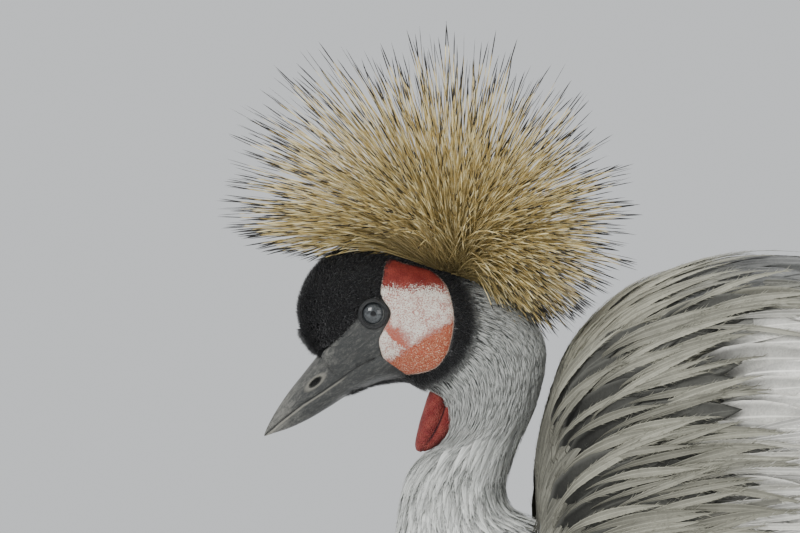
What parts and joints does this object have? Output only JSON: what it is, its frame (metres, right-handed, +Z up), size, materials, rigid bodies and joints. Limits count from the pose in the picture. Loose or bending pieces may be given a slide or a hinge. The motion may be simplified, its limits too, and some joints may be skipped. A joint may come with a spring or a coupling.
{
  "type": "grey crowned crane, life-size museum model",
  "caption": "Life-size grey crowned crane standing with its neck drawn back, with a fan of golden crown bristles, a red wattle and grey plumes.",
  "frame": {"origin": "on the floor, under the centre of the bird's bounding box", "axes": "+Z up, -X the way the bill points, +Y to the bird's right"},
  "size_m": [0.661, 0.1917, 0.7477],
  "materials": {
    "velvet": "short black velvet feathers",
    "down": "soft pale grey feathers",
    "horn": "slate grey horn",
    "eye": "clear over a pale grey iris",
    "skin": "bare red and white skin",
    "mantle": "grey lance-shaped plumes",
    "quill": "dark stiff feathers",
    "wing": "white and brown vaned feathers",
    "leg": "black scaled skin",
    "bristle": "straw-gold twisted bristles"
  },
  "bodies": {
    "root": {"head": "velvet", "upper_neck": "down", "lower_neck": "down", "upper_bill": "horn", "lower_bill": "horn", "left_eye": "eye", "right_eye": "eye", "wattle": "skin", "torso": "mantle", "tail": "quill", "left_wing": "wing", "right_wing": "wing", "left_thigh": "down", "right_thigh": "down", "left_shank": "leg", "right_shank": "leg", "left_foot": "leg", "right_foot": "leg", "crest": "bristle", "left_cheek": "skin", "right_cheek": "skin"}
  },
  "joints": []
}
